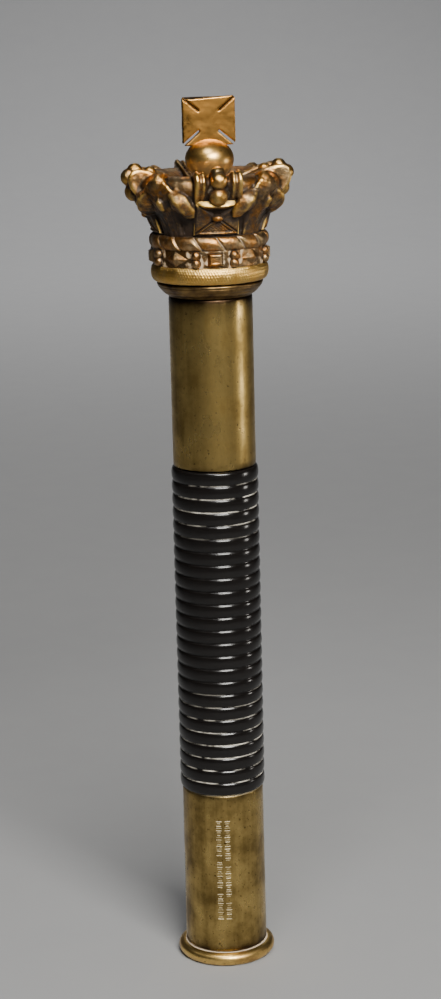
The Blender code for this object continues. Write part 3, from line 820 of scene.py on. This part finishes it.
# Rope border
# A twisted rope of sixteen strands, cast in one with the crown round its brow. The strands are rubbed
# bright, and the grooves between them are full of pale polish.
rope_radius = 0.0169
rope_strands = 16
rope_depth = 0.0006
rope_swell = 0.0003
groove_share = 0.055
polish_share = 0.035
rope_lean = math.radians(5)
rope_turn = math.radians(3.7)
rope_base = band_radius - 0.0008
around = rope_strands * 30
across = 21
vertices, polish = [], []
for i in range(around):
    turn = 2 * math.pi * i / around
    for j in range(across):
        angle = math.pi * (0.5 - j / (across - 1))
        phase = (rope_strands * (turn - rope_turn + rope_lean * math.sin(angle)) / (2 * math.pi)) % 1.0
        off = min(phase, 1 - phase)
        groove = rope_depth * math.exp(-((off / groove_share) ** 2))
        swell = rope_swell * math.sin(math.pi * phase) ** 0.5 - rope_swell
        radius = rope_base + (rope_radius - rope_base - groove + swell) * math.cos(angle) ** 0.8
        height = rope_foot + rope_height / 2 + (rope_height / 2 - 0.2 * groove) * math.sin(angle)
        vertices.append(at(turn, 0, radius, height))
        film = 0.10 * ease(-0.1, 0.5, noise.fractal(vertices[-1] * per_size(0.0009), 1.0, 2.0, 3))
        polish.append(max(film, 0.9 * math.exp(-((off / polish_share) ** 2)) * max(0.0, math.cos(angle))))
faces = grid_faces(around, across, joins_rows=True, joins_columns=False)
rope = object_from("crown_rope", vertices, faces, cast_brass, "cast_brass")
mark_points(rope, "polish", polish)

# Jewelled band
# Cast cushions, lozenges and pairs of pearls stand on a plain band between the rope and the lower border.
# All are brass; the ground between them keeps a pinkish-white crust of dried polish.
square_width = 0.0045
lozenge_width = 0.0082
jewel_rise = 0.0013
table_sink = 0.00008
pearl_width = 0.0027
pearl_turns = (19, 66)
lozenge_turn = 42
band_turn = -2


def jewel_solid(turn, width, height, table, columns=24):
    """A four-sided jewel standing on the band, square with a flat table or pointed as a lozenge."""
    vertices = []
    for r in range(columns + 1):
        v = -1 + 2 * r / columns
        for c in range(columns + 1):
            u = -1 + 2 * c / columns
            edge = max(abs(u), abs(v))
            if table:
                x, y = u * width / 2, v * height / 2
                rise = jewel_rise * min(1.0, (1 - edge) / 0.32) - table_sink * ease(0.50, 0.42, edge)
            else:
                x, y = (u - v) / 2 * width / 2, (u + v) / 2 * height / 2
                rise = jewel_rise * 1.05 * (1 - edge) ** 0.85
            radius = math.sqrt(band_radius**2 - x**2) - 0.0001 + rise
            vertices.append(at(turn, x, radius, band_foot + band_height / 2 + y))
    return vertices, grid_faces(columns + 1, columns + 1, joins_columns=False)


jewels = []
edges = []
for quarter in range(4):
    jewels.append(jewel_solid(math.radians(90 * quarter + band_turn), square_width, 0.90 * band_height, True))
    edges.append((math.radians(90 * quarter + band_turn), square_width / 2))
for half in (0, 180):
    for side in (-1, 1):
        turn = math.radians(half + side * lozenge_turn + band_turn)
        jewels.append(jewel_solid(turn, lozenge_width, 1.04 * band_height, False))
        edges.append((turn, lozenge_width / 2))
        for angle in pearl_turns:
            turn = math.radians(half + side * angle + band_turn)
            edges.append((turn, pearl_width / 2))
            for level in (-1, 1):
                height = band_foot + (0.5 + 0.24 * level) * band_height
                jewels.append(ball(at(turn, 0, band_radius + 0.0002, height), pearl_width / 2, 32, 20))
jewelled = object_from("crown_jewels", *joined(jewels), cast_brass, "cast_brass")
levels = [rope_foot + 0.0010, *np.linspace(rope_foot, band_foot, 17), band_foot - 0.0010]
ground = turned("crown_band", [(band_radius - (0.0002 if i in (0, 18) else 0.0), level)
                               for i, level in enumerate(levels)], cast_brass, "cast_brass", steps=360)
crust = []
for v in ground.data.vertices:
    turn = math.atan2(v.co.x, -v.co.y)
    aside = min(abs(abs(wrapped(turn - middle)) * band_radius - half) for middle, half in edges)
    patch = noise.fractal(v.co * per_size(0.0016), 1.0, 2.0, 4)
    crust.append(0.80 * ease(-0.10, 0.55, patch + 0.25 - aside / 0.0013))
mark_points(ground, "polish", crust)

# Lower border
# A heavy half-round moulding closes the crown below. It is punched all over with rows of fine dots and is the
# brightest part of the casting, because the hand rubs it. The real dots are finer than the picture can show,
# so they are drawn coarser.
border_radius = 0.01665
dot_pitch = 0.00082
dot_depth = 0.00028
bulge = border_height / 2
dots_around = round(2 * math.pi * border_radius / dot_pitch)
around = dots_around * 4
levels = 40
border_reach = 176
vertices = []
for j in range(levels + 1):
    angle = math.radians(border_reach * (0.5 - j / levels))
    edge = ease(0, 0.18, min(j, levels - j) / levels)
    for i in range(around):
        turn = 2 * math.pi * i / around
        row = j / levels * math.radians(border_reach) * bulge / dot_pitch
        dot = math.cos(turn * dots_around + math.pi * math.floor(row)) * math.sin(math.pi * (row % 1.0))
        spot = at(turn, 0, border_radius, 0.7 * bulge * angle)
        worn = ease(-0.80, 0.10, noise.noise(spot * per_size(0.0021)))
        radius = border_radius - 0.55 * bulge * (1 - math.cos(angle))
        radius -= dot_depth * edge * worn * max(0.0, dot)
        vertices.append(at(turn, 0, radius, crown_low.z + bulge + bulge * math.sin(angle)))
faces = [(a, d, c, b) for a, b, c, d in grid_faces(levels + 1, around)]
border = object_from("crown_border", vertices, faces, cast_brass, "cast_brass")

# Ball
# A ball of brass turned on a lathe, a little flattened. It rests in the cupped hub where the four arches
# meet. Its underside is painted paler and greyer, a painted reflection of the grey floor.
ball_vertices, ball_faces = ball(orb_middle, orb_radius, 96, 64, orb_flatness)
orb = object_from("ball_turned", ball_vertices, ball_faces, turned_brass, "turned_brass")
# The underside is painted paler and greyer: a painted reflection of the grey floor
mark_points(orb, "polish", [0.2 * ease(0.2, -0.5, (v.co.z - orb_middle.z) / orb_radius)
                            for v in orb.data.vertices])
mark_points(orb, "copper", [0.4] * len(orb.data.vertices))
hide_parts("orb")

# Plate cross
# A nearly square plate of redder brass, parted into four spreading arms by a saw cut from each corner. It
# stands in a slot in the ball. Its edges are worn round and its upper left corner is blunted in front and
# painted darker. The two upper cuts are filled a little behind the front and painted dark, the left arm has
# brown blotches, and the left edge is painted darker as painted shade.
cross_low, cross_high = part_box("cross")
cross_cut = 0.0006
cross_blunting = 0.0013
cross_core = 0.0054
cut_fill_sink = 0.0004
half_width = (cross_high.x - cross_low.x) / 2
half_height = (cross_high.z - cross_low.z) / 2
core = cross_core / 2
slant = Vector((half_width - core, half_height - core)).normalized()
beside = Vector((-slant.y, slant.x)) * cross_cut / 2


def cut_lips(right, up):
    """The saw cut in from one corner of the plate: its outline from one side of its mouth to the other."""
    corner = Vector((right * half_width, up * half_height))
    inner = Vector((right * core, up * core))
    offset = Vector((right * beside.x, up * beside.y))
    return [corner + Vector((-right * cross_cut * 0.8, 0)), inner + offset, inner - offset,
            corner + Vector((0, -up * cross_cut * 0.8))]


def plate_solid(outline, front, back):
    """A flat solid between two depths; the outline is measured from the plate's middle."""
    rings = [[Vector((cross_low.x + half_width + p.x, y, cross_low.z + half_height + p.y)) for p in outline]
             for y in (back, front)]
    return skin(rings)


outline = []
for right, up in ((1, 1), (-1, 1), (-1, -1), (1, -1)):
    lips = cut_lips(right, up)
    outline += lips if right * up < 0 else lips[::-1]
plate_vertices, plate_faces = plate_solid(outline, cross_low.y, cross_high.y)
for corner in plate_vertices:
    if corner.y < 0 and corner.x < cross_low.x + 0.2 * half_width and corner.z > cross_high.z - 0.0001:
        corner += Vector((slant.x, 0, -slant.y)) * cross_blunting
# The two upper cuts are filled a little behind the front, and painted dark below
cut_fills = [plate_solid(cut_lips(right, 1), cross_low.y + cut_fill_sink, cross_high.y - cut_fill_sink)
          for right in (-1, 1)]
plate = cast_as_one("cross_plate", [(plate_vertices, plate_faces), *cut_fills], 0.00017, 3, 0.3,
                    turned_brass, "turned_brass")
plate_darkening = []
for v in plate.data.vertices:
    x = (v.co.x - cross_low.x) / (2 * half_width)
    z = (v.co.z - cross_low.z) / (2 * half_height)
    patch = ease(0.0, 0.45, noise.fractal(v.co * per_size(0.0011), 1.0, 2.0, 4))
    inward = Vector((abs(v.co.x - cross_low.x - half_width), v.co.z - cross_low.z - half_height))
    inward -= Vector((core, core))
    off_line = abs(inward.dot(beside)) / beside.length / (cross_cut / 2)
    in_cut = ease(1.0, 0.7, off_line) * ease(-0.0003, 0.0, inward.x)
    in_cut *= ease(0.00012, 0.00025, v.co.y - cross_low.y) if z > 0.6 else 0.0
    blunted = ease(0.0002, 0.0005, v.co.y - cross_low.y) * ease(0.86, 0.93, z) * ease(0.5, 0.35, x)
    # Painted darker: the filled upper cuts, the blunted corner, brown blotches on the left arm, and the left
    # edge, where it is painted shade
    plate_darkening.append(min(1.0, in_cut + 0.75 * blunted + 0.6 * ease(0.05, 0.0, x)
                           + 0.5 * patch * ease(0.30, 0.05, x)))
mark_points(plate, "grime_and_shade", plate_darkening)
mark_points(plate, "copper", [0.85] * len(plate_darkening))
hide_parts("cross")

# Dirt, wear and painted shade on the crown
# Old dirt lies, and shade is painted into the colour, where little light or cloth reaches, so each point of
# the casting is given how open it is to the air around, less its dirt and painted shade, and how far it
# stands above or sinks below the metal next to it.
shape = BVHTree.FromPolygons(*joined([([v.co for v in o.data.vertices],
                                       [tuple(p.vertices) for p in o.data.polygons])
                                      for o in (casting, crosses, rope, jewelled, ground, border, orb)]))
ray_count = 22
golden = math.pi * (3 - math.sqrt(5))
rays = []
for i in range(ray_count):
    up = 1 - 2 * (i + 0.5) / ray_count
    out = math.sqrt(1 - up**2)
    rays.append(Vector((out * math.cos(golden * i), out * math.sin(golden * i), up)))
ray_reach = 0.0090
ray_start = 0.0002
dirt_and_shade_weight = 0.52
ridge_scale = 0.00030
# Radii that a hand or cloth keeps to round the basket, by shares of its rise
rubbing_line = ((-0.05, rope_radius), (0.45, 0.0205), (0.80, 0.0243), (1.0, 0.0243))


def dirt_and_painted_shade(point):
    """How dark a place is painted, for old dirt together with painted shade: 1 where no hand reaches in, and
    below 0 on the tips, which are painted lighter for the light from above as well as rubbed bright. The
    basket's neck, the undersides of the carving, most of all on the basket's left, the gaps between the
    arches and the lower parts of the arches keep the most."""
    rise = (point.z - rope_head) / crown_rise
    turn = math.atan2(point.x, -point.y)
    if rise < 0:
        return 0.0
    behind = blended(rubbing_line, min(rise, 1.0)) - math.hypot(point.x, point.y)
    aside = abs(math.sin(2 * turn))
    # Dirt behind the rubbing line; painted shade under the carving, deepest on the left, between the arches
    # and low on the arches; and the top painted lighter
    deep = ease(0.0004, 0.0024, behind) * (1 - ease(0.45, 0.70, rise))
    underside = (1 - ease(0.34, 0.50, rise)) * (0.25 + 0.75 * ease(0.004, -0.006, point.x)) * max(0.15, aside)
    between = 0.55 * ease(0.35, 0.80, aside) * (1 - ease(0.68, 0.84, rise))
    on_arch = 0.35 * ease(0.60, 0.35, aside) * (1 - ease(0.74, 0.92, rise)) * ease(0.47, 0.52, rise)
    return max(deep, underside, between, on_arch) - 0.40 * ease(0.72, 0.90, rise)


def add_wear(piece, rounds, rubbed=0.0, film=0.0):
    """Gives the piece its wear values and its painted shade. A point's ridge is judged against the metal this
    many rounds of neighbours away, and rubbed is added to it, one amount or one for each vertex. Its openness
    is the share of rays that get out, less its dirt and painted shade, and ridges stay dull where that is
    low. A film of dried polish may be left in the open grooves."""
    mesh = piece.data
    points, normals, edges = mesh_arrays(mesh)
    softened = points.copy()
    for _ in range(rounds):
        softened += 0.5 * (neighbour_mean(softened, edges) - softened)
    ridges = np.einsum("ij,ij->i", points - softened, normals) / ridge_scale + rubbed
    # Closed-in places are painted darker through this: painted shade together with old dirt
    openness_and_light = []
    for point, normal in zip(points, normals):
        normal = Vector(normal)
        start = Vector(point) + normal * ray_start
        free = 0.0
        for ray in rays:
            direction = (ray + normal * 1.02).normalized()
            distance = shape.ray_cast(start, direction, ray_reach)[3]
            free += 1.0 if distance is None else distance / ray_reach
        openness_and_light.append(free / ray_count - dirt_and_shade_weight * dirt_and_painted_shade(Vector(point)))
    ridges = np.minimum(ridges, ridges * np.clip((np.array(openness_and_light) - 0.30) / 0.40, 0.0, 1.0))
    if film:
        mark_points(piece, "polish", [film * ease(0.45, 1.1, -ridge) * ease(0.25, 0.55, free)
                                      * ease(-0.2, 0.3, noise.noise(Vector(p) * per_size(0.0030)))
                                      for p, ridge, free in zip(points, ridges, openness_and_light)])
    mark_points(piece, "ridge", ridges)
    mark_points(piece, "open_and_lit", openness_and_light)


add_wear(casting, 30, film=0.35)
cross_foot = carved(*patty_line[0])[1]
# The curled lip of each upper arm is painted the brightest: a painted highlight as well as rubbed metal
lip_rub_and_highlight = np.array([1.3 * ease(0.82, 0.86, (v.co.z - cross_foot) / patty_height)
                  for v in crosses.data.vertices])
add_wear(crosses, 9, lip_rub_and_highlight, film=0.15)
add_wear(rope, 10)
add_wear(jewelled, 8, -0.15)
add_wear(ground, 0, -0.3)
add_wear(border, 0, 1.0)

# Studio
# A plain floor of grey paper that bends up into a wall all round, with soft light on the staff and on the
# paper. The camera stands where the photograph was taken from: in front, a little to the left of the crown's
# front and higher than its middle.

# Matt grey paper: even, soft and a little fibrous, so that the staff's colours stand out from it.
floor_grey, node = new_material("matt grey paper")
place = node("TexCoord", {}).outputs["Object"]
fibre = node("TexNoise", {"Vector": place, "Scale": per_size(0.02), "Detail": 2.0})
paper = node("Mix", {0: fibre, 6: linear("#888889"), 7: linear("#8C8C8C")}, data_type="RGBA")
finish_material(floor_grey, {"Base Color": paper, "Roughness": 0.9})
floor_radius = 1.7
bend_radius = 0.9
wall_height = 2.6
bends = [(0.0005, 0.0), (0.3, 0.0), (floor_radius, 0.0)]
for degrees in range(3, 91, 3):
    angle = math.radians(degrees)
    bends.append((floor_radius + bend_radius * math.sin(angle), bend_radius * (1 - math.cos(angle))))
bends.append((floor_radius + bend_radius, wall_height))
vertices, faces = turned_solid(bends, 144)
# The last face would be a ceiling
floor = smooth_object("floor", vertices, faces[:-1], floor_grey)

tube_size = 0.0238
camera_distance = 26.24 * tube_size
camera_height = 12.116 * tube_size
camera_pitch = math.radians(13.39)
camera_roll = math.radians(-1.43)
camera_yaw = math.radians(-0.13)
studio_turn = Matrix.Rotation(math.radians(-8), 4, "Z")
camera_data = bpy.data.cameras.new("camera")
camera_data.lens = 80.03
camera_data.clip_start = 0.01
camera = linked("camera", camera_data)
stand = Matrix.Translation((0, -camera_distance, camera_height)) @ Matrix.Rotation(camera_yaw, 4, "Z")
tilt = Matrix.Rotation(math.pi / 2 - camera_pitch, 4, "X") @ Matrix.Rotation(camera_roll, 4, "Z")
camera.matrix_world = studio_turn @ stand @ tilt
bpy.context.scene.camera = camera


def add_light(name, turn, distance, height, aim, size, power, colour, spread):
    """A soft box at a turn in degrees from the camera's side, to the right where positive. The aim is the
    distance and height that it points at on its own side, and the spread is how wide its grid lets light
    out."""
    data = bpy.data.lights.new(name, "AREA")
    data.shape = "RECTANGLE"
    data.size, data.size_y = size
    data.energy = power
    data.color = linear(colour)[:3]
    data.spread = math.radians(spread)
    light = linked(name, data)
    angle = math.radians(turn)
    outward = Vector((math.sin(angle), -math.cos(angle), 0))
    light.location = studio_turn @ (outward * distance + Vector((0, 0, height)))
    direction = studio_turn @ (outward * aim[0] + Vector((0, 0, aim[1]))) - light.location
    light.rotation_mode = "QUATERNION"
    light.rotation_quaternion = direction.to_track_quat("-Z", "Y")


add_light("main softbox", 20, 0.80, 0.70, (0.0, 0.16), (0.50, 0.26), 4.8, "#FFFDF8", 84)
add_light("side strip", 86, 0.52, 0.16, (0.0, 0.195), (0.07, 0.12), 0.035, "#FFFAF2", 44)
add_light("top softbox", -10, 0.35, 0.85, (0.0, 0.22), (0.26, 0.26), 0.8, "#FFFFFF", 90)
add_light("backdrop light", 180, 1.65, 1.3, (1.65, 0.0), (0.8, 1.2), 11.5, "#FFFFFF", 110)
for turn in (0, 45, 90, 270, 315):
    add_light(f"room light {turn}", turn, 1.6, 1.3, (1.6, 0.0), (0.8, 1.0), 3.2, "#FFFFFF", 104)

world = bpy.data.worlds.new("studio")
world.use_nodes = True
background = world.node_tree.nodes["Background"]
background.inputs["Color"].default_value = linear("#8C8C8E")
background.inputs["Strength"].default_value = 0.12
bpy.context.scene.world = world
